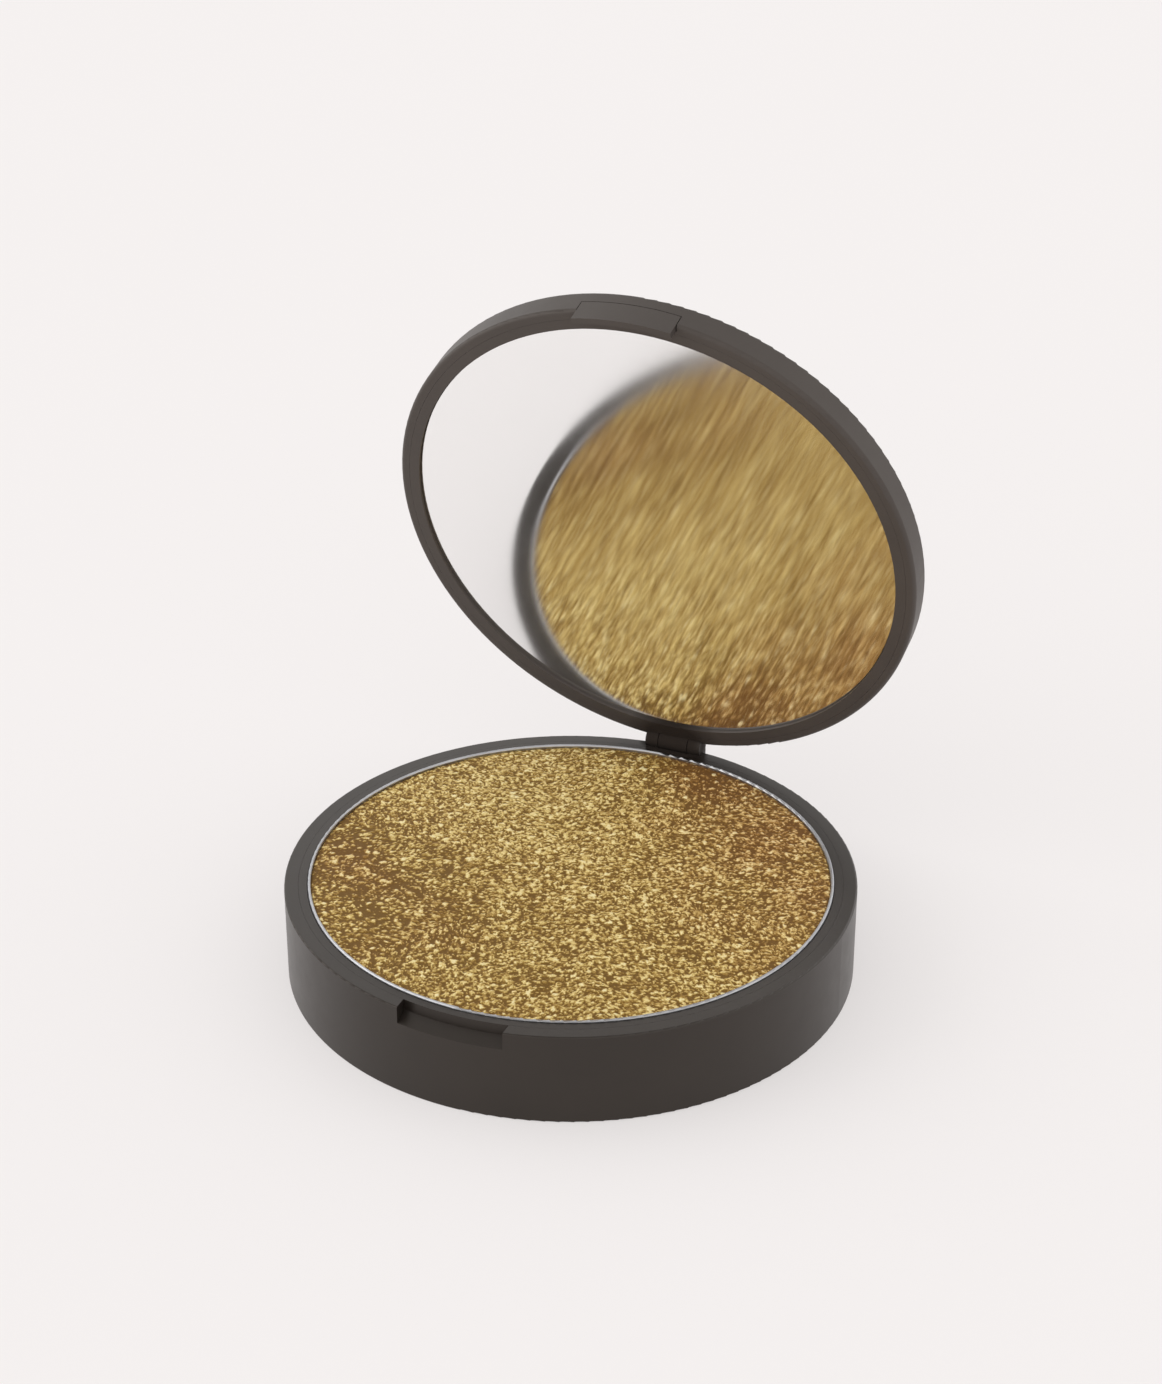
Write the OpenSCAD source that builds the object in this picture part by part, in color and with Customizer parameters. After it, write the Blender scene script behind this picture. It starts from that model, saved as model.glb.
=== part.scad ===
// Round pressed-powder compact with a hinged mirror lid, shown with its lid part open.
// Millimetres. The origin is the centre of the underside and +Z is up.
// The hinge is on the +Y side, the latch is on the -Y side.
// Lid parts are drawn in their closed place and then swung open about the hinge pin.

/* [Base] */
// Outer radius of the base
base_r = 35; // [33:0.5:40]
// Height of the base, from its underside to its rim
base_h = 11.7; // [11:0.1:15]
// Thickness of the base's outer wall
base_wall = 1.7; // [1.5:0.05:1.9]
// Thickness of the base's floor
base_floor = 1.2; // [1:0.1:1.6]
// Edge radius at the foot of the base
foot_round = 0.2; // [0.1:0.05:0.6]
// Edge radius at the base's rim
rim_round = 0.2; // [0.1:0.05:0.3]

/* [Powder pan] */
// Width of the plastic rim between the base's outer wall and the pan
tray_rim = 1.03; // [0.8:0.01:1.4]
// Height of the metal pan
pan_h = 4.6; // [4:0.1:5.5]
// Wall thickness of the metal pan at its rolled lip
pan_wall = 0.4; // [0.3:0.05:0.6]
// How far the pan's lip stands above the base's rim
lip_rise = 0.28; // [0:0.02:0.3]
// Depth of the powder's surface below the pan's lip
powder_drop = 0.25; // [0.2:0.05:0.8]

/* [Lid] */
// Outer radius of the lid, as a step in from the base's outer radius
lid_inset = 0.8; // [0.6:0.1:0.9]
// Height of the lid
lid_h = 3.9; // [3.8:0.1:4.5]
// Thickness of the lid's top
lid_top = 1.2; // [1:0.1:1.3]
// Thickness of the lid's outer wall
lid_wall = 1.2; // [1.1:0.05:1.3]
// Edge radius around the lid's top
lid_round = 0.4; // [0.2:0.1:0.6]
// Edge radius around the outside of the lid's rim
lid_edge = 0.5; // [0.1:0.1:0.6]
// Width of the whole rim around the mirror
lid_rim = 2.55; // [2.3:0.05:3]
// Thickness of the mirror glass
mirror_t = 1.2; // [0.9:0.1:1.4]
// Depth of the mirror below the lid's rim
mirror_drop = 0.5; // [0.3:0.05:0.6]
// Gap between the base's rim and the lid's rim when closed
lid_gap = 0.4; // [0.38:0.01:0.5]
// Angle that the lid stands open from closed
lid_open = 74.5; // [0:0.5:138]

/* [Latch] */
// Width of the latch tab
tab_w = 12.5; // [10:0.5:15]
// How far the tab reaches below the lid's rim
tab_drop = 1.6; // [1.3:0.1:1.7]
// How far the tab reaches up the lid's wall
tab_rise = 1.85; // [1.5:0.05:1.9]
// Space left on each side of the tab inside the base's notch
tab_clear = 0.35; // [0.25:0.05:0.5]
// Depth of the base's notch below its rim
notch_h = 2.2; // [2.2:0.1:2.6]
// How much lower the notch's sloping floor is at the outside
notch_slope = 0.85; // [0.2:0.05:0.85]

/* [Hinge] */
// Radius of the hinge knuckles
knuckle_r = 1.3; // [1.2:0.05:1.35]
// Overall width of the hinge
hinge_w = 7.6; // [7:0.1:10]
// Width of the lid's knuckle
lug_w = 4; // [2.5:0.5:4]
// Radius of the hinge pin
pin_r = 0.55; // [0.5:0.05:0.6]
// Height of the pin above the base's rim
pin_rise = 0.78; // [0.7:0.02:0.85]

/* [Hidden] */
$fn = 180;

// Casing, metal and filling colours
casing = [0.17, 0.155, 0.14];
metal = [0.78, 0.78, 0.8];
gold = [0.66, 0.5, 0.2];

// Clearances, and facets of small rounds
seam = 0.02;          // clearance of two pieces that are pushed together
fit = 0.08;           // clearance around the pan and around the mirror
gap = 0.1;            // clearance around a knuckle, and along its ends
cut = 1;              // how far a cutting shape runs past a face
edge_fn = 48;
bead_fn = 32;
hinge_fn = 96;

// Base and tray
base_in_r = base_r - base_wall;
tray_r = base_in_r - seam;
tray_in_r = tray_r - tray_rim;
bead_r = 0.25;
bead_step = 0.05;     // inset of the tray's snap bead, and its clearance in the groove
bead_z = base_floor + 3;
rib_count = 6;
rib_t = 0.8;
boss_r = 9;

// Pan and powder, from the lip down
pan_r = tray_in_r - fit;
pan_top = base_h + lip_rise;
pan_z = pan_top - pan_h;
pan_floor = 0.4;
glue_t = 0.2;
glue_r = 24;
tray_floor = 1;
tray_z = pan_z - glue_t - tray_floor;
powder_r = pan_r - pan_wall - seam;
powder_z = pan_top - powder_drop;

// Label, flush with the underside
label_t = 0.15;
label_r = 26;
label_gap = 0.1;      // clearance around the label

// Lid, in its closed place
lid_r = base_r - lid_inset;
lid_z = base_h + lid_gap;
lid_in_r = lid_r - lid_wall;
recess_r = lid_r - lid_rim;
tape_t = 0.2;
tape_r = 28;
mirror_r = recess_r - fit;
roof_z = lid_z + lid_h - lid_top;
mirror_z = lid_z + mirror_drop;
seat_z = mirror_z + mirror_t + tape_t;

// Hinge
hinge_y = base_r - 0.34;
hinge_z = base_h + pin_rise;
bore_r = pin_r + 0.05;    // the lid's knuckle runs on the pin
press_r = pin_r + 0.01;   // the base's ears grip the pin
swing_r = knuckle_r + gap;
ear_in_x = lug_w / 2 + gap;
ear_out_x = hinge_w / 2;
pin_end = 0.5;        // plastic left beyond the pin's blind end
pin_inset = 0.15;     // depth of the pin's other end inside its ear
ear_step = 0.05;      // step out from the wall's inside to the front of an ear
ear_back_h = 0.7;     // height of an ear's boss at its back
ear_h = 2.4;          // height of an ear's boss at the wall
web_inset = 0.08;     // step in from the lid's wall to the back of its web
web_lean = 0.3;       // how far the web's back leans out
web_drop = 1.4;       // height of the lid's wall left above the web

// Latch
tab_step = 0.1;       // step out from the inside of the base's wall to the tab
tab_in_r = base_in_r + tab_step;
notch_w = tab_w + 2 * tab_clear;
tab_gap = 0.1;        // thin line seen around the tab in the lid's wall

// Half section of a disc from the axis out to r, with its outer corners rounded
module disc_section(r, z0, z1, low_round, high_round) {
  translate([0, z0]) square([r - low_round, z1 - z0 - high_round]);
  translate([0, z0 + low_round]) square([r - high_round, z1 - z0 - low_round]);
  translate([0, z0 + low_round]) square([r, z1 - z0 - low_round - high_round]);
  translate([r - low_round, z0 + low_round]) circle(low_round, $fn = edge_fn);
  translate([r - high_round, z1 - high_round]) circle(high_round, $fn = edge_fn);
}

// Flat ring between two radii and two heights
module ring(r_in, r_out, z0, z1) {
  rotate_extrude() translate([r_in, z0]) square([r_out - r_in, z1 - z0]);
}

// Cylinder along X about the hinge axis, between two places on X
module hinge_cylinder(r, x0, x1) {
  translate([x0, hinge_y, hinge_z]) rotate([0, 90, 0])
    cylinder(r = r, h = x1 - x0, $fn = hinge_fn);
}

// Solid between two places on X whose section is drawn about the hinge axis, as Y and Z
module hinge_block(x0, x1, points) {
  translate([x0, hinge_y, hinge_z]) rotate([90, 0, 90]) linear_extrude(x1 - x0) polygon(points);
}

// Box on the latch side, centred on X, from well inside the wall to beyond the outside
module latch_box(w, z0, z1) {
  translate([-w / 2, -base_r - cut, z0]) cube([w, base_r / 2, z1 - z0]);
}

// Cutter for the notch in the base's wall, whose floor slopes down to the outside
module notch_cutter() {
  inner_z = base_h - notch_h + notch_slope;
  intersection() {
    latch_box(notch_w, base_h - notch_h - cut, base_h + cut);
    rotate_extrude() polygon([[base_in_r - cut, base_h + cut], [base_in_r - cut, inner_z],
                              [base_in_r, inner_z], [base_r, base_h - notch_h],
                              [base_r + cut, base_h - notch_h], [base_r + cut, base_h + cut]]);
  }
}

// Swings a closed lid part to its open place
module swing() {
  translate([0, hinge_y, hinge_z]) rotate([-lid_open, 0, 0]) translate([0, -hinge_y, -hinge_z])
    children();
}

// One hinge ear of the base, between two places on X: a knuckle on a boss behind the wall
module ear(x0, x1) {
  front = base_in_r + ear_step - hinge_y;
  back = knuckle_r - gap;
  top = -pin_rise;
  hinge_cylinder(knuckle_r, x0, x1);
  hinge_block(x0, x1, [[front, top], [back, top], [back, top - ear_back_h], [0, top - ear_h],
                       [front, top - ear_h]]);
}

// Outer base: floor, wall and hinge ears, with a notch for the latch tab
module base_shell() {
  color(casing) difference() {
    union() {
      difference() {
        rotate_extrude() disc_section(base_r, 0, base_h, foot_round, rim_round);
        translate([0, 0, base_floor]) cylinder(r = base_in_r, h = base_h);
        rotate_extrude() translate([tray_r, bead_z]) circle(bead_r + bead_step, $fn = bead_fn);
      }
      ear(-ear_out_x, -ear_in_x);
      ear(ear_in_x, ear_out_x);
    }
    translate([0, 0, -cut]) cylinder(r = label_r + label_gap, h = label_t + cut);
    notch_cutter();
    hinge_cylinder(swing_r, -ear_in_x, ear_in_x);
    hinge_cylinder(press_r, -ear_out_x - cut, ear_out_x - pin_end);
  }
}

// Blank adhesive label, let into the underside
module base_label() {
  color([0.93, 0.92, 0.9]) cylinder(r = label_r, h = label_t);
}

// Inner tray: the rim around the pan, a floor under it and ribs that stand on the base's floor
module pan_tray() {
  foot_z = base_floor + seam;
  color(casing) {
    rotate_extrude() {
      translate([tray_in_r, foot_z]) square([tray_r - tray_in_r, base_h - foot_z]);
      translate([tray_r - bead_step, bead_z]) circle(bead_r, $fn = bead_fn);
      translate([0, tray_z]) square([tray_in_r + tray_rim / 2, tray_floor]);
      translate([boss_r, foot_z]) square([rib_t, tray_z + tray_floor / 2 - foot_z]);
    }
    for (i = [0 : rib_count - 1]) {
      rotate(i * 360 / rib_count) translate([boss_r + rib_t / 2, -rib_t / 2, foot_z])
        cube([tray_in_r + tray_rim / 2 - boss_r - rib_t / 2, rib_t, tray_z + tray_floor / 2 - foot_z]);
    }
  }
}

// Thin disc of glue that holds the pan to its tray
module pan_adhesive() {
  color([0.85, 0.84, 0.78]) translate([0, 0, tray_z + tray_floor]) cylinder(r = glue_r, h = glue_t);
}

// Shallow metal pan with a full-round lip
module powder_pan() {
  lip_r = pan_wall / 2;
  color(metal) rotate_extrude() {
    translate([0, pan_z]) square([pan_r, pan_floor]);
    translate([pan_r - pan_wall, pan_z]) square([pan_wall, pan_h - lip_r]);
    translate([pan_r - lip_r, pan_top - lip_r]) circle(lip_r, $fn = edge_fn);
  }
}

// Pressed powder
module powder_cake() {
  color(gold) translate([0, 0, pan_z + pan_floor])
    cylinder(r = powder_r, h = powder_z - pan_z - pan_floor);
}

// Steel pin, pushed in from the -X side
module hinge_pin() {
  color(metal) hinge_cylinder(pin_r, -ear_out_x + pin_inset, ear_out_x - pin_end - gap);
}

// Outer lid: top, wall and hinge knuckle, with a shallow pocket for the latch tab
module lid_shell() {
  web_y = web_inset - lid_inset;
  web_z = lid_h - web_drop;
  color(casing) swing() difference() {
    union() {
      difference() {
        rotate_extrude() disc_section(lid_r, lid_z, lid_z + lid_h, lid_edge, lid_round);
        translate([0, 0, lid_z - cut]) cylinder(r = lid_in_r, h = lid_h - lid_top + cut);
        for (side = [0, 1]) {
          mirror([side, 0, 0]) hinge_cylinder(swing_r, lug_w / 2, ear_out_x + gap);
        }
      }
      hinge_cylinder(knuckle_r, -lug_w / 2, lug_w / 2);
      hinge_block(-lug_w / 2, lug_w / 2,
                  [[-knuckle_r, 0], [knuckle_r, 0], [web_y + web_lean, web_z], [-knuckle_r, web_z]]);
    }
    hinge_cylinder(bore_r, -lug_w, lug_w);
    difference() {
      latch_box(tab_w + 2 * tab_gap, lid_z - cut, lid_z + tab_rise + tab_gap);
      cylinder(r = tab_in_r - seam, h = 3 * base_h);
    }
  }
}

// Latch tab: a curved plate, flush with the lid's wall, that drops into the base's notch
module latch_tab() {
  color(casing) swing() intersection() {
    ring(tab_in_r, lid_r, lid_z - tab_drop, lid_z + tab_rise);
    latch_box(tab_w, lid_z - tab_drop - cut, lid_z + tab_rise + cut);
  }
}

// Shallow dish inside the lid: a ring around the mirror and a seat behind it
module mirror_frame() {
  color(casing) swing() rotate_extrude() {
    translate([recess_r, lid_z]) square([lid_in_r - seam - recess_r, roof_z - lid_z]);
    translate([0, seat_z]) square([recess_r + lid_rim / 4, roof_z - seat_z]);
  }
}

// Thin foam tape between the mirror and its seat
module mirror_tape() {
  color([0.9, 0.9, 0.88]) swing() translate([0, 0, seat_z - tape_t]) cylinder(r = tape_r, h = tape_t);
}

// Round mirror glass, recessed below the lid's rim
module mirror_glass() {
  color([0.85, 0.87, 0.88]) swing() translate([0, 0, mirror_z]) cylinder(r = mirror_r, h = mirror_t);
}

base_shell();
base_label();
pan_tray();
pan_adhesive();
powder_pan();
powder_cake();
hinge_pin();
lid_shell();
latch_tab();
mirror_frame();
mirror_tape();
mirror_glass();  // mirror
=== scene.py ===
"""A round powder compact standing open on a pale floor.

Metres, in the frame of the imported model: the origin is the centre of the underside, +Z is up,
the hinge is on the +Y side and the latch on the -Y side.
"""
import math

import bpy
import numpy as np
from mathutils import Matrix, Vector


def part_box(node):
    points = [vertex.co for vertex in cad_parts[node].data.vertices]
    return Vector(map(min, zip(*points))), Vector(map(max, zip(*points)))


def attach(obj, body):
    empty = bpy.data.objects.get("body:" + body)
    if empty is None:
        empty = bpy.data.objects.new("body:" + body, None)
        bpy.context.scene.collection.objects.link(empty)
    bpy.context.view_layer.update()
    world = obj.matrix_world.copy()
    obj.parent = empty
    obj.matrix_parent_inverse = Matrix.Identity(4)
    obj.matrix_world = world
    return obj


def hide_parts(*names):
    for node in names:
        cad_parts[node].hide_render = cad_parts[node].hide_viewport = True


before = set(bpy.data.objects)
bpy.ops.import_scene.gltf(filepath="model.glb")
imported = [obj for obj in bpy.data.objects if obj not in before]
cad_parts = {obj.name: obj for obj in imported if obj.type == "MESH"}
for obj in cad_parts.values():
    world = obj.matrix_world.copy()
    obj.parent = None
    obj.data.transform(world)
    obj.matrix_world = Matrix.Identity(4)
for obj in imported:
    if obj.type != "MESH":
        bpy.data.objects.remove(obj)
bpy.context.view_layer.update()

MM = 0.001
BASE_LOW, BASE_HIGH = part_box("base_shell")
BASE_R = (BASE_HIGH.x - BASE_LOW.x) / 2

# Camera, with lengths in base radii
CAM_AZIMUTH = math.radians(23.39)
CAM_PITCH = math.radians(28.01)
CAM_LENS = 74.05
CAM_BACK = 10.123
CAM_RIGHT = 0.0353
CAM_UP = 0.9292
CAM_NEAR = 0.01               # metres

# Stage; the dome's brightness goes from low to high between two heights of a direction
FLOOR_HALF = 3.0
FLOOR_GLOW = (0.51, 0.49, 0.485, 1.0)
DOME_COLOUR = (1.0, 0.995, 0.99, 1)
DOME_LOW = 1.25
DOME_HIGH = 0.7
DOME_FROM = 0.5
DOME_TO = 0.9
SIDE_LIGHT = 0.8
SIDE_HEADING = (0.85, 0.35, -0.35)
SIDE_SPREAD = math.radians(60)


# ---------------------------------------------------------------- node helpers

class Nodes:
    """A material's node tree, with short calls for making and joining nodes."""

    def __init__(self, name):
        self.material = bpy.data.materials.new(name)
        self.material.use_nodes = True
        self.tree = self.material.node_tree
        self.tree.nodes.clear()
        self.out = self.add("ShaderNodeOutputMaterial")
        self.coords = self.add("ShaderNodeTexCoord").outputs["Object"]

    def add(self, kind, **settings):
        node = self.tree.nodes.new(kind)
        for key, value in settings.items():
            setattr(node, key, value)
        return node

    def join(self, source, target):
        self.tree.links.new(source, target)

    def principled(self, **values):
        """The material's shader; values are socket names with _ for a space."""
        shader = self.add("ShaderNodeBsdfPrincipled")
        for key, value in values.items():
            shader.inputs[key.replace("_", " ")].default_value = value
        self.join(shader.outputs[0], self.out.inputs["Surface"])
        return shader

    def noise(self, scale, detail=2.0, rough=0.5):
        node = self.add("ShaderNodeTexNoise")
        node.inputs["Scale"].default_value = scale
        node.inputs["Detail"].default_value = detail
        node.inputs["Roughness"].default_value = rough
        self.join(self.coords, node.inputs["Vector"])
        return node.outputs["Fac"]

    def cells(self, scale):
        """Distance from the nearest of scattered points."""
        node = self.add("ShaderNodeTexVoronoi")
        node.inputs["Scale"].default_value = scale
        self.join(self.coords, node.inputs["Vector"])
        return node.outputs["Distance"]

    def ramp(self, value, stops):
        """Colour ramp through stops, each a place and a colour."""
        node = self.add("ShaderNodeValToRGB")
        elements = node.color_ramp.elements
        while len(elements) < len(stops):
            elements.new(1)
        for element, (place, colour) in zip(elements, stops):
            element.position = place
            element.color = (*colour, 1)
        self.join(value, node.inputs[0])
        return node.outputs["Color"]

    def span(self, value, low, high, from_low=0.0, from_high=1.0):
        """value, taken from one range to another."""
        node = self.add("ShaderNodeMapRange")
        for key, number in zip(("From Min", "From Max", "To Min", "To Max"),
                               (from_low, from_high, low, high)):
            node.inputs[key].default_value = number
        self.join(value, node.inputs["Value"])
        return node.outputs["Result"]

    def math(self, operation, a, b):
        node = self.add("ShaderNodeMath", operation=operation)
        for socket, value in zip(node.inputs, (a, b)):
            if isinstance(value, (int, float)):
                socket.default_value = value
            else:
                self.join(value, socket)
        return node.outputs[0]

    def mix(self, share, a, b, blend="MIX"):
        node = self.add("ShaderNodeMix", data_type="RGBA", blend_type=blend)
        for socket, value in ((node.inputs[0], share), (node.inputs[6], a), (node.inputs[7], b)):
            if isinstance(value, (int, float)):
                socket.default_value = value
            elif isinstance(value, tuple):
                socket.default_value = (*value, 1)
            else:
                self.join(value, socket)
        return node.outputs[2]

    def bump(self, height, strength, distance):
        node = self.add("ShaderNodeBump")
        node.inputs["Strength"].default_value = strength
        node.inputs["Distance"].default_value = distance
        self.join(height, node.inputs["Height"])
        return node.outputs["Normal"]

    def distance(self, centre, reach):
        """Distance from centre in units of reach, which holds one length for each axis."""
        offset = self.add("ShaderNodeVectorMath", operation="SUBTRACT")
        self.join(self.coords, offset.inputs[0])
        offset.inputs[1].default_value = centre
        scaled = self.add("ShaderNodeVectorMath", operation="DIVIDE")
        self.join(offset.outputs[0], scaled.inputs[0])
        scaled.inputs[1].default_value = reach
        length = self.add("ShaderNodeVectorMath", operation="LENGTH")
        self.join(scaled.outputs[0], length.inputs[0])
        return length.outputs["Value"]

    def attribute(self, name):
        return self.add("ShaderNodeAttribute", attribute_name=name).outputs["Fac"]


# ---------------------------------------------------------------- materials

PIN_LOW, PIN_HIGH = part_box("hinge_pin")
HINGE = (PIN_LOW + PIN_HIGH) / 2

# Painted shade at the hinge: centre, reach, and the shares of the reach between which it fades
BASE_HINGE_SHADE = (HINGE, (4.4 * MM, 2.3 * MM, 2.3 * MM), 0.9, 1.2)
LID_HINGE_SHADE = (HINGE + Vector((0, -1.2 * MM, 0.8 * MM)), (5.6 * MM, 2.4 * MM, 3.4 * MM), 0.65, 1.3)
# Painted shade at the hinge: its colour, its gloss, and the roughness it adds
HINGE_SHADE_COLOUR = (0.024, 0.0185, 0.0155)
HINGE_SHADE_GLOSS = 0.1
HINGE_SHADE_DULL = 0.45             # added to the casing's roughness
CASING_TINT = (1.0, 0.9, 0.82, 1.0)
WIPE_HEADING = (0.44, -0.24, 0.87)      # direction in which the mirror was wiped


def casing_material(name, low, high, gloss, rough, hinge_shade):
    """Dark warm grey satin plastic with a fine moulded grain, with painted shade that makes it
    darker and dull at the hinge.
    """
    n = Nodes(name)
    shader = n.principled(Specular_Tint=CASING_TINT)
    centre, reach, fade_from, fade_to = hinge_shade
    # Painted shade: the casing turns darker, less glossy and rougher towards the hinge
    hinge_shade_share = n.span(n.distance(centre, reach), 1, 0, fade_from, fade_to)
    n.join(n.span(hinge_shade_share, gloss, HINGE_SHADE_GLOSS), shader.inputs["Specular IOR Level"])
    cloud = n.noise(90, 4, 0.6)
    colour = n.ramp(cloud, [(0.3, low), (0.7, high)])
    n.join(n.mix(hinge_shade_share, colour, HINGE_SHADE_COLOUR), shader.inputs["Base Color"])
    dull = n.span(n.noise(400, 3, 0.6), rough, rough + 0.1)
    duller = n.math("MULTIPLY", hinge_shade_share, HINGE_SHADE_DULL)
    n.join(n.math("ADD", dull, duller), shader.inputs["Roughness"])
    grain = n.noise(9000, 2, 0.5)
    n.join(n.bump(grain, 0.12, 0.02 * MM), shader.inputs["Normal"])
    return n.material


def pan_material():
    """Rolled aluminium, slightly uneven in tone and shine."""
    n = Nodes("pan_aluminium")
    shader = n.principled(Metallic=1.0)
    patch = n.noise(300, 3)
    n.join(n.ramp(patch, [(0.3, (0.44, 0.44, 0.455)), (0.7, (0.53, 0.53, 0.545))]),
           shader.inputs["Base Color"])
    n.join(n.span(n.noise(1500, 3), 0.32, 0.46), shader.inputs["Roughness"])
    n.join(n.bump(n.noise(5000, 2), 0.08, 0.02 * MM), shader.inputs["Normal"])
    return n.material


def steel_material():
    """Ground steel wire."""
    n = Nodes("pin_steel")
    shader = n.principled(Metallic=1.0)
    n.join(n.ramp(n.noise(3000, 2), [(0.3, (0.5, 0.5, 0.51)), (0.7, (0.6, 0.6, 0.61))]),
           shader.inputs["Base Color"])
    n.join(n.span(n.noise(2500, 3), 0.22, 0.38), shader.inputs["Roughness"])
    return n.material


def mirror_material():
    """Silvered glass with a trace of haze, drawn out one way where it has been wiped."""
    n = Nodes("mirror_silver")
    shader = n.principled(Metallic=1.0, Anisotropic=1.0)
    wiped = n.add("ShaderNodeVectorTransform", vector_type="VECTOR", convert_from="OBJECT",
                  convert_to="WORLD")
    wiped.inputs[0].default_value = WIPE_HEADING
    n.join(wiped.outputs[0], shader.inputs["Tangent"])
    haze = n.noise(60, 5, 0.7)
    n.join(n.ramp(haze, [(0.3, (0.955, 0.95, 0.945)), (0.75, (0.94, 0.935, 0.93))]),
           shader.inputs["Base Color"])
    n.join(n.span(haze, 0.06, 0.08, 0.3, 0.7), shader.inputs["Roughness"])
    return n.material


def powder_material():
    """Pressed gold powder: pale gold grains over a golden brown binder."""
    n = Nodes("gold_powder")
    shader = n.principled(Specular_IOR_Level=0.15)
    grain = n.attribute("grain")
    warmth = n.attribute("warmth")
    fine = n.cells(5600)
    speckle = n.span(fine, 0.16, -0.16, 0.1, 0.7)
    level = n.math("ADD", grain, n.math("MULTIPLY", speckle, 0.8))
    colour = n.ramp(level, [
        (0.0, (0.20, 0.108, 0.024)),
        (0.2, (0.31, 0.178, 0.040)),
        (0.42, (0.50, 0.325, 0.090)),
        (0.68, (0.84, 0.65, 0.25)),
        (1.0, (0.99, 0.90, 0.55)),
    ])
    warm = n.ramp(warmth, [
        (0.0, (0.88, 0.87, 0.84)),
        (0.4, (0.86, 0.83, 0.78)),
        (1.0, (0.80, 0.67, 0.68)),
    ])
    pale = n.mix(n.span(level, 0, 0.8, 0.5, 1), warm, (0.9, 0.87, 0.82))
    n.join(n.mix(1.0, colour, pale, "MULTIPLY"), shader.inputs["Base Color"])
    n.join(n.span(level, 0.2, 0.55), shader.inputs["Metallic"])
    n.join(n.span(level, 0.6, 0.3), shader.inputs["Roughness"])
    n.join(n.bump(fine, 0.3, 0.05 * MM), shader.inputs["Normal"])
    return n.material


def paper_material(name, low, high):
    """Matte paper, foam or dried glue, mottled between two colours."""
    n = Nodes(name)
    shader = n.principled(Roughness=0.7)
    n.join(n.ramp(n.noise(700, 4, 0.6), [(0.3, low), (0.7, high)]), shader.inputs["Base Color"])
    n.join(n.bump(n.noise(3500, 3), 0.15, 0.03 * MM), shader.inputs["Normal"])
    return n.material


def floor_material():
    """Pale matte floor with a glow of its own."""
    n = Nodes("floor_sweep")
    shader = n.principled(Roughness=0.9, Specular_IOR_Level=0.0, Emission_Strength=1.0,
                          Emission_Color=FLOOR_GLOW)
    n.join(n.ramp(n.noise(6, 2), [(0.3, (0.38, 0.368, 0.366)), (0.7, (0.383, 0.371, 0.369))]),
           shader.inputs["Base Color"])
    return n.material


# ---------------------------------------------------------------- powder

POWDER_RINGS = 174
POINT_SHIFT = 0.3             # random shift of a mesh point, as a share of the pitch
POINT_SEED = 7
RELIEF_DROP = 0.1 * MM        # mean surface, below the top of the plain cake
MEAN_HEIGHT = 0.45            # height, 0 to 1, that lies on the mean surface
GRAIN_LIFT = 0.144 * MM       # height of a grain of the largest layer
CLUMP_LIFT = 0.03 * MM        # soft swells under the grains
CLUMP_SIZE = 5 * MM
CLUMP_SEED = 3
EDGE_DROP = 0.1 * MM          # further drop of the outermost ring
WARP_SIZE = 0.7 * MM          # grains are bent out of round by a soft field
WARP_SHIFT = 0.09 * MM
WARP_SEEDS = (31, 32)

# Grains: shift inside a lattice cell, least width for the length, lean towards dull ones
GRAIN_SHIFT = 0.45
GRAIN_SQUEEZE = 0.65
GRAIN_DULLNESS = 1.1
GRAIN_EDGE = 2.2              # steepness of a grain's change of brightness at its edge
GRAIN_DIM = 0.3               # brightness of the dullest grain
GRAIN_LOW = 0.4               # share of the height that is the same for every layer

# Size of a lattice cell of grains, smallest and largest grain radius as shares of it, seed
GRAIN_LAYERS = (
    (0.66 * MM, 0.34, 0.66, 11),
    (0.40 * MM, 0.30, 0.62, 12),
    (0.30 * MM, 0.28, 0.55, 13),
)

# Mean cover of grains and warmth, and the soft waves on them: strength, size, seed
COVER = 0.60
COVER_WAVES = ((0.10, 9 * MM, 21), (0.07, 3 * MM, 22))
COVER_LIMITS = (0.08, 0.95)
WARMTH = 0.35
WARMTH_WAVES = ((0.10, 12 * MM, 23),)

# Soft patches: place and reach in powder radii, change in the cover of grains, change in warmth
PATCHES = (
    (-0.40, 0.45, 0.55, 0.22, -0.35),
    (0.05, 0.10, 0.45, 0.10, -0.05),
    (0.30, -0.72, 0.40, 0.03, -0.15),
    (-0.62, -0.50, 0.50, -0.28, 0.18),
    (-0.98, -0.10, 0.32, -0.22, 0.22),
    (0.62, 0.62, 0.50, -0.14, 0.60),
    (0.22, 0.98, 0.22, -0.45, 0.90),
    (0.95, 0.00, 0.40, 0.00, 0.25),
)


WAVE_COUNT = 24
WAVE_LENGTHS = (0.7, 1.6)     # shortest and longest, as shares of the field's size


def smooth_field(points, size, seed):
    """Soft random field of about -1 to 1 over points on a plane, with features of that size."""
    waves = np.random.default_rng(seed)
    total = np.zeros(len(points))
    for _ in range(WAVE_COUNT):
        heading = waves.uniform(0, 2 * math.pi)
        length = size * waves.uniform(*WAVE_LENGTHS)
        phase = waves.uniform(0, 2 * math.pi)
        along = points @ np.array([math.cos(heading), math.sin(heading)])
        total += np.sin(2 * math.pi * along / length + phase)
    return total / math.sqrt(WAVE_COUNT)


def wavy(points, mean, waves):
    """A mean value with soft fields on it."""
    total = mean
    for strength, size, seed in waves:
        total = total + strength * smooth_field(points, size, seed)
    return total


def patch_fields(points, radius):
    """Cover of grains, 0 to 1, and warmth, 0 to 1, over points on the powder."""
    cover = wavy(points, COVER, COVER_WAVES)
    warmth = wavy(points, WARMTH, WARMTH_WAVES)
    for x, y, reach, more_cover, more_warmth in PATCHES:
        away = np.hypot(points[:, 0] / radius - x, points[:, 1] / radius - y) / reach
        share = np.exp(-away ** 2)
        cover += share * more_cover
        warmth += share * more_warmth
    return cover.clip(*COVER_LIMITS), warmth.clip(0, 1)


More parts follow.
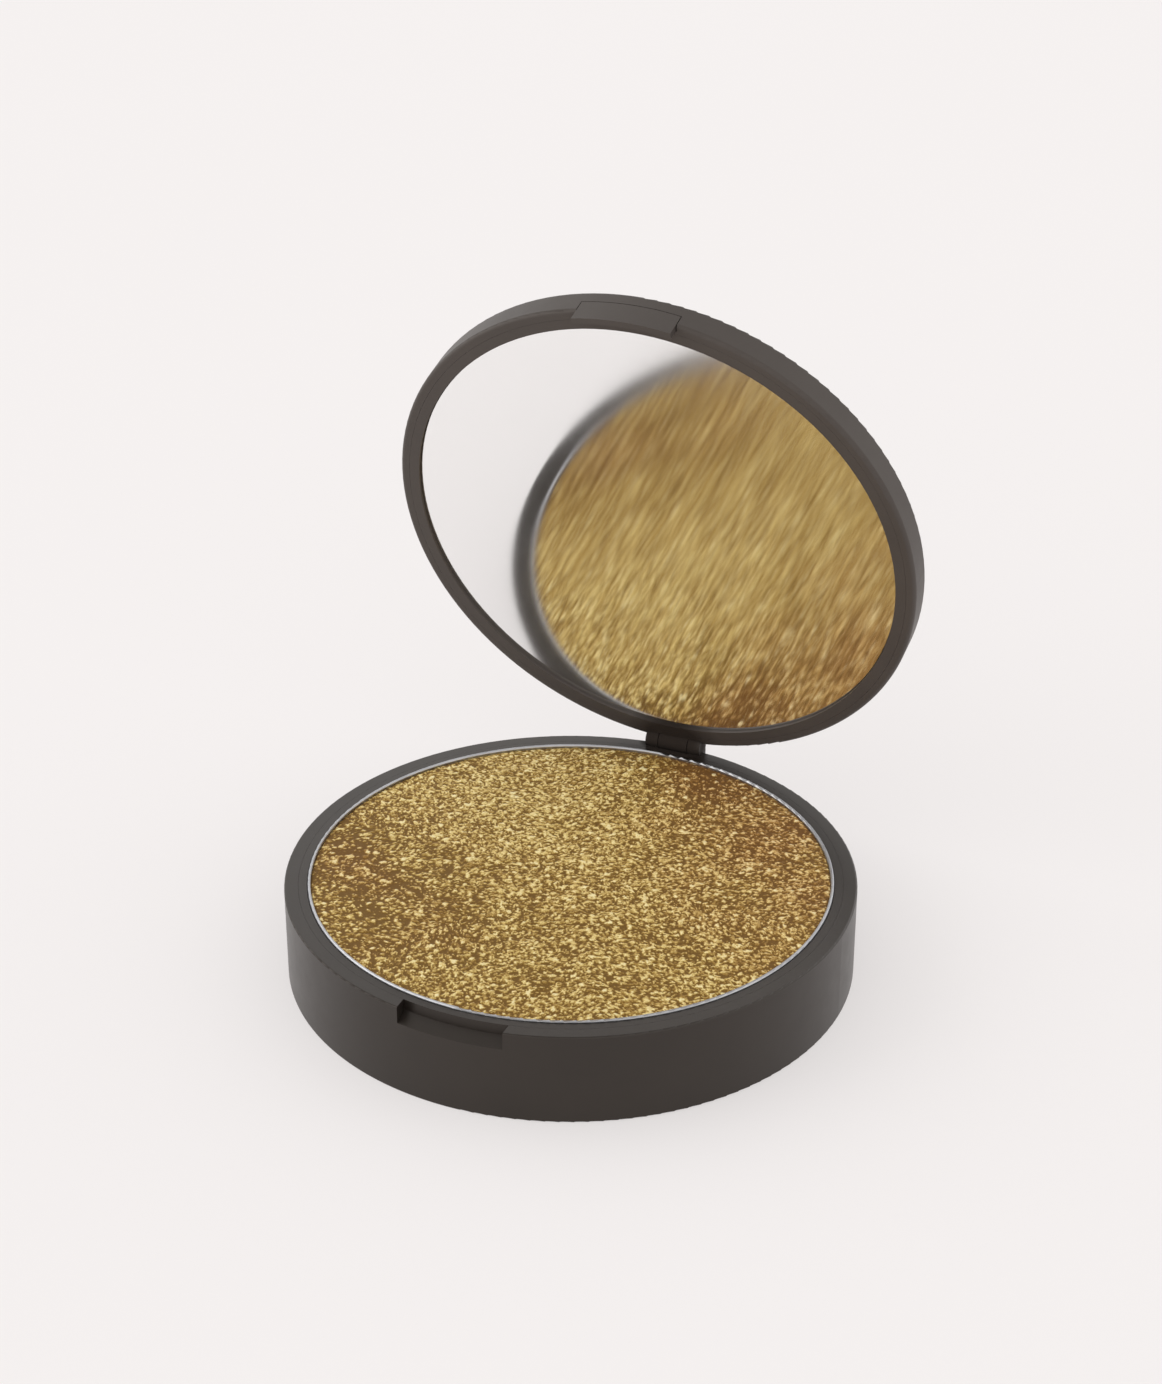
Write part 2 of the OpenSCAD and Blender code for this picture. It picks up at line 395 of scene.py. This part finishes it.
def grain_layer(points, radius, cell, small, large, seed):
    """Height, 0 to 1, and brightness, 0 to 1, of the highest grain over each point."""
    draw = np.random.default_rng(seed)
    half = int(radius / cell) + 3      # cells from the centre to beyond the edge
    count = 2 * half + 1
    index = np.stack(np.meshgrid(np.arange(count), np.arange(count), indexing="ij"), -1)
    centre = (index - half + draw.uniform(-GRAIN_SHIFT, GRAIN_SHIFT, index.shape)) * cell
    size = draw.uniform(small, large, (count, count)) * cell
    cover, _ = patch_fields(centre.reshape(-1, 2), radius)
    present = draw.uniform(0, 1, (count, count)) < cover.reshape(count, count)
    bright = draw.uniform(0, 1, (count, count)) ** GRAIN_DULLNESS
    turn = draw.uniform(0, math.pi, (count, count))
    squeeze = draw.uniform(GRAIN_SQUEEZE, 1.0, (count, count))

    home = np.floor(points / cell + half + 0.5).astype(int)
    best = np.zeros(len(points))
    shine = np.zeros(len(points))
    for step_x in (-1, 0, 1):
        for step_y in (-1, 0, 1):
            i, j = home[:, 0] + step_x, home[:, 1] + step_y
            away = points - centre[i, j]
            cos, sin = np.cos(turn[i, j]), np.sin(turn[i, j])
            along = away[:, 0] * cos + away[:, 1] * sin
            across = (away[:, 1] * cos - away[:, 0] * sin) / squeeze[i, j]
            dome = (1 - (along ** 2 + across ** 2) / size[i, j] ** 2).clip(0, 1) * present[i, j]
            higher = dome > best
            best = np.where(higher, dome, best)
            shine = np.where(higher, bright[i, j], shine)
    return best, shine


def disc_points(rings, radius):
    """Centre point, then ring k with 6k evenly spaced points."""
    points = [np.zeros((1, 2))]
    for k in range(1, rings + 1):
        turn = np.arange(6 * k) * 2 * math.pi / (6 * k)
        points.append(np.stack([np.cos(turn), np.sin(turn)], 1) * radius * k / rings)
    return np.concatenate(points)


def disc_faces(rings):
    """Triangles between the rings of disc_points."""
    def index(k, i):
        return 0 if k == 0 else 1 + 3 * k * (k - 1) + i % (6 * k)

    faces = []
    for k in range(1, rings + 1):
        for sector in range(6):
            for j in range(k):
                outer = sector * k + j
                inner = sector * (k - 1) + j
                faces.append((index(k, outer), index(k, outer + 1), index(k - 1, inner)))
                if j < k - 1:
                    faces.append((index(k - 1, inner), index(k, outer + 1), index(k - 1, inner + 1)))
    return faces


def point_attribute(mesh, name, values):
    layer = mesh.attributes.new(name, "FLOAT", "POINT")
    layer.data.foreach_set("value", values.astype(np.float32))


def grain_relief(points, radius):
    """Height, 0 to 1, and brightness, 0 to 1, of all layers of grains together."""
    warp = np.stack([smooth_field(points, WARP_SIZE, seed) for seed in WARP_SEEDS], 1)
    warped = points + warp * WARP_SHIFT
    height = np.zeros(len(points))
    grain = np.zeros(len(points))
    for cell, small, large, seed in GRAIN_LAYERS:
        dome, shine = grain_layer(warped, radius, cell, small, large, seed)
        scale = cell / GRAIN_LAYERS[0][0]
        height = np.maximum(height, dome * (GRAIN_LOW + (1 - GRAIN_LOW) * scale))
        brightness = GRAIN_DIM + (1 - GRAIN_DIM) * shine
        grain = np.maximum(grain, np.minimum(dome * GRAIN_EDGE, 1) * brightness)
    return height, grain


def make_powder():
    """Closed cake whose top is a relief of small grains."""
    low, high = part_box("powder_cake")
    radius = (high.x - low.x) / 2
    top, bottom = high.z, low.z
    flat = disc_points(POWDER_RINGS, radius)
    pitch = radius / POWDER_RINGS
    from_centre = np.hypot(flat[:, 0], flat[:, 1])
    edge = from_centre > radius - pitch / 2
    shift = np.random.default_rng(POINT_SEED).uniform(-POINT_SHIFT, POINT_SHIFT, flat.shape)
    flat[~edge] += shift[~edge] * pitch

    height, grain = grain_relief(flat, radius)
    _, warmth = patch_fields(flat, radius)
    z = top - RELIEF_DROP + (height - MEAN_HEIGHT) * GRAIN_LIFT
    z += smooth_field(flat, CLUMP_SIZE, CLUMP_SEED) * CLUMP_LIFT
    z = np.minimum(z, top)
    z[edge] = top - EDGE_DROP - RELIEF_DROP

    count = 6 * POWDER_RINGS
    first = len(flat) - count
    base = len(flat)
    skirt = np.column_stack([flat[first:], np.full(count, bottom)])
    verts = np.concatenate([np.column_stack([flat, z]), skirt, [[0, 0, bottom]]])
    faces = disc_faces(POWDER_RINGS)
    for i in range(count):
        j = (i + 1) % count
        faces.append((first + j, first + i, base + i, base + j))
        faces.append((base + j, base + i, base + count))
    mesh = bpy.data.meshes.new("powder")
    mesh.from_pydata(verts.tolist(), [], faces)
    mesh.update()
    mesh.shade_smooth()
    underside = np.zeros(count + 1)
    point_attribute(mesh, "grain", np.concatenate([grain, underside]))
    point_attribute(mesh, "warmth", np.concatenate([warmth, underside]))
    piece = bpy.data.objects.new("powder", mesh)
    bpy.context.scene.collection.objects.link(piece)
    mesh.materials.append(powder_material())
    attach(piece, "base")
    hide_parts("powder_cake")


# ---------------------------------------------------------------- stage

def make_floor():
    """Square floor under the compact."""
    corners = [(x * FLOOR_HALF, y * FLOOR_HALF, 0) for x, y in ((-1, -1), (1, -1), (1, 1), (-1, 1))]
    mesh = bpy.data.meshes.new("floor")
    mesh.from_pydata(corners, [], [(0, 1, 2, 3)])
    floor = bpy.data.objects.new("floor", mesh)
    bpy.context.scene.collection.objects.link(floor)
    mesh.materials.append(floor_material())


def make_camera():
    """Camera that looks at the compact from its front right and above."""
    forward = Vector((-math.sin(CAM_AZIMUTH) * math.cos(CAM_PITCH),
                      math.cos(CAM_AZIMUTH) * math.cos(CAM_PITCH), -math.sin(CAM_PITCH)))
    right = Vector((math.cos(CAM_AZIMUTH), math.sin(CAM_AZIMUTH), 0))
    up = right.cross(forward)
    aim = (right * CAM_RIGHT + up * CAM_UP) * BASE_R
    camera = bpy.data.objects.new("camera", bpy.data.cameras.new("camera"))
    camera.data.lens = CAM_LENS
    camera.data.clip_start = CAM_NEAR
    camera.location = aim - forward * CAM_BACK * BASE_R
    camera.rotation_euler = forward.to_track_quat("-Z", "Y").to_euler()
    bpy.context.scene.collection.objects.link(camera)
    bpy.context.scene.camera = camera


def make_lights():
    """Soft dome, brighter low down than overhead, and a broad light from the front left."""
    world = bpy.data.worlds.new("studio")
    world.use_nodes = True
    tree = world.node_tree
    background = tree.nodes["Background"]
    direction = tree.nodes.new("ShaderNodeTexCoord").outputs["Generated"]
    height = tree.nodes.new("ShaderNodeSeparateXYZ")
    tree.links.new(direction, height.inputs[0])
    dome = tree.nodes.new("ShaderNodeMapRange")
    for key, number in (("From Min", DOME_FROM), ("From Max", DOME_TO),
                        ("To Min", DOME_LOW), ("To Max", DOME_HIGH)):
        dome.inputs[key].default_value = number
    tree.links.new(height.outputs["Z"], dome.inputs["Value"])
    tree.links.new(dome.outputs["Result"], background.inputs["Strength"])
    background.inputs["Color"].default_value = DOME_COLOUR
    bpy.context.scene.world = world
    sun = bpy.data.lights.new("side", "SUN")
    sun.energy = SIDE_LIGHT
    sun.angle = SIDE_SPREAD
    lamp = bpy.data.objects.new("side", sun)
    lamp.rotation_euler = Vector(SIDE_HEADING).to_track_quat("-Z", "Y").to_euler()
    bpy.context.scene.collection.objects.link(lamp)


make_camera()
make_floor()
make_lights()

casing = casing_material("casing_plastic", (0.010, 0.0075, 0.0058), (0.014, 0.0105, 0.0082),
                         gloss=0.52, rough=0.3, hinge_shade=BASE_HINGE_SHADE)
# Painted light: the lid, latch tab and mirror frame get a lighter copy of the same casing plastic,
# standing in for light on the lid
lid_casing_lit = casing_material("lid_plastic_lit", (0.058, 0.049, 0.044), (0.066, 0.056, 0.050),
                             gloss=0.3, rough=0.4, hinge_shade=LID_HINGE_SHADE)
MATERIALS = {
    "base_shell": casing,
    "pan_tray": casing,
    "lid_shell": lid_casing_lit,
    "latch_tab": lid_casing_lit,
    "mirror_frame": lid_casing_lit,
    "powder_pan": pan_material(),
    "hinge_pin": steel_material(),
    "mirror": mirror_material(),
    "base_label": paper_material("label_paper", (0.78, 0.77, 0.74), (0.83, 0.82, 0.79)),
    "mirror_tape": paper_material("foam_tape", (0.7, 0.7, 0.67), (0.78, 0.78, 0.75)),
    "pan_adhesive": paper_material("dried_glue", (0.62, 0.58, 0.47), (0.72, 0.68, 0.56)),
}
for name, material in MATERIALS.items():
    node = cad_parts[name]
    if node.material_slots:
        for entry in node.material_slots:
            entry.material = material
    else:
        node.data.materials.append(material)

make_powder()

bpy.context.scene.view_settings.view_transform = "Standard"
